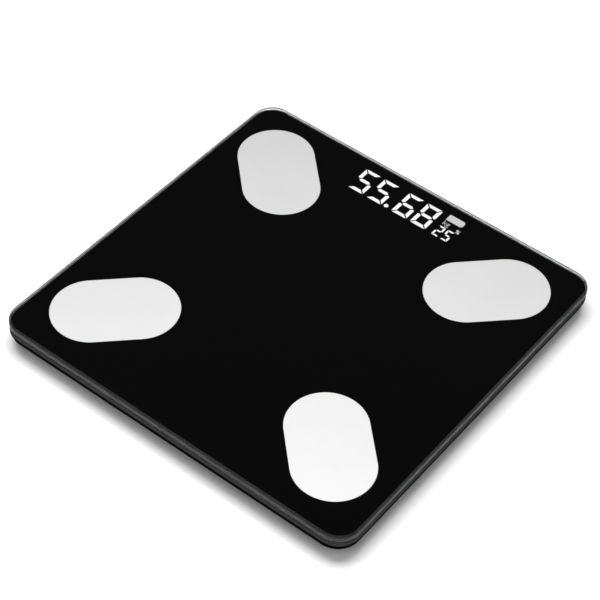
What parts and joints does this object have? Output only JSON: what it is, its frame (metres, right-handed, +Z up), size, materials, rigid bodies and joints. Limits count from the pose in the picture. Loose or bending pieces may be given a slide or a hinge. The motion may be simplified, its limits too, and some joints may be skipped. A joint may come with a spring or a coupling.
{
  "type": "digital bathroom scale",
  "caption": "Square glass-topped body-composition bathroom scale with obround steel electrodes at the corners and a lit numeric display under the rear edge.",
  "frame": {"origin": "centre of the square outline at the bottom of the foot pads", "axes": "+Z up, +X to the right, +Y towards the display edge"},
  "size_m": [0.28, 0.28, 0.0254],
  "materials": {
    "clear_glass": "polished",
    "black_print": "gloss",
    "smoked_film": "gloss",
    "electrode_steel": "fine satin",
    "stud_steel": "satin",
    "tinned_brass": "satin",
    "foam_tape": "matte",
    "tray_plastic": "fine texture",
    "screw_steel": "zinc plated",
    "cell_steel": "nickel plated",
    "gauge_resin": "silicone",
    "bracket_plastic": "moulded",
    "foot_plastic": "moulded",
    "pad_rubber": "matte",
    "wire_sleeve": "satin",
    "battery_jacket": "gloss",
    "spring_steel": "nickel plated",
    "board_laminate": "solder mask",
    "reflector_plastic": "moulded",
    "diffuser_plastic": "frosted",
    "led_resin": "clear resin",
    "chip_resin": "moulded",
    "can_steel": "tinned",
    "switch_plastic": "moulded",
    "button_plastic": "satin"
  },
  "bodies": {
    "scale_body": {"base_tray": "tray_plastic", "battery_1": "battery_jacket", "battery_2": "battery_jacket", "battery_3": "battery_jacket", "battery_leads": "wire_sleeve", "battery_springs": "spring_steel", "bond_tape": "foam_tape", "cell_bracket_front_left": "bracket_plastic", "cell_bracket_front_right": "bracket_plastic", "cell_bracket_rear_left": "bracket_plastic", "cell_bracket_rear_right": "bracket_plastic", "contact_plates": "spring_steel", "converter_chip": "chip_resin", "display_diffuser": "diffuser_plastic", "display_filter": "smoked_film", "display_leds": "led_resin", "display_reflector": "reflector_plastic", "electrode_front_left": "electrode_steel", "electrode_front_right": "electrode_steel", "electrode_lead_front_left": "wire_sleeve", "electrode_lead_front_right": "wire_sleeve", "electrode_lead_rear_left": "wire_sleeve", "electrode_lead_rear_right": "wire_sleeve", "electrode_rear_left": "electrode_steel", "electrode_rear_right": "electrode_steel", "electrode_studs": "stud_steel", "glass_platform": "clear_glass", "load_cell_front_left": "cell_steel", "load_cell_front_right": "cell_steel", "load_cell_rear_left": "cell_steel", "load_cell_rear_right": "cell_steel", "main_board": "board_laminate", "main_chip": "chip_resin", "mask_film": "black_print", "ring_terminals": "tinned_brass", "screws": "screw_steel", "sensor_lead_front_left": "wire_sleeve", "sensor_lead_front_right": "wire_sleeve", "sensor_lead_rear_left": "wire_sleeve", "sensor_lead_rear_right": "wire_sleeve", "small_parts": "chip_resin", "strain_gauges": "gauge_resin", "stud_nuts": "stud_steel", "tact_switch": "switch_plastic", "wireless_module": "can_steel"},
    "foot_front_left": {"foot_disc_front_left": "foot_plastic", "foot_pad_front_left": "pad_rubber"},
    "foot_front_right": {"foot_disc_front_right": "foot_plastic", "foot_pad_front_right": "pad_rubber"},
    "foot_rear_left": {"foot_disc_rear_left": "foot_plastic", "foot_pad_rear_left": "pad_rubber"},
    "foot_rear_right": {"foot_disc_rear_right": "foot_plastic", "foot_pad_rear_right": "pad_rubber"},
    "battery_door": {"battery_door": "tray_plastic", "door_latch": "tray_plastic"},
    "unit_button": {"button_cap": "button_plastic", "switch_plunger": "switch_plastic"}
  },
  "joints": [
    {"name": "foot_press_front_left", "type": "slide", "parent": "scale_body", "child": "foot_front_left", "axis": [0, 0, 1], "range_m": [0, 0.0005], "stiffness_N_per_m": 1500, "springref_m": -0.003, "deforming": ["load_cell_front_left"]},
    {"name": "foot_press_front_right", "type": "slide", "parent": "scale_body", "child": "foot_front_right", "axis": [0, 0, 1], "range_m": [0, 0.0005], "stiffness_N_per_m": 1500, "springref_m": -0.003, "deforming": ["load_cell_front_right"]},
    {"name": "foot_press_rear_left", "type": "slide", "parent": "scale_body", "child": "foot_rear_left", "axis": [0, 0, 1], "range_m": [0, 0.0005], "stiffness_N_per_m": 1500, "springref_m": -0.003, "deforming": ["load_cell_rear_left"]},
    {"name": "foot_press_rear_right", "type": "slide", "parent": "scale_body", "child": "foot_rear_right", "axis": [0, 0, 1], "range_m": [0, 0.0005], "stiffness_N_per_m": 1500, "springref_m": -0.003, "deforming": ["load_cell_rear_right"]},
    {"name": "battery_door_hinge", "type": "hinge", "parent": "scale_body", "child": "battery_door", "pos_m": [0, -0.0199, 0.0048], "axis": [-1, 0, 0], "range_deg": [0, 75], "deforming": ["door_latch"]},
    {"name": "unit_button_press", "type": "slide", "parent": "scale_body", "child": "unit_button", "axis": [0, 0, 1], "range_m": [0, 0.0005], "stiffness_N_per_m": 1500, "springref_m": -0.0005}
  ]
}
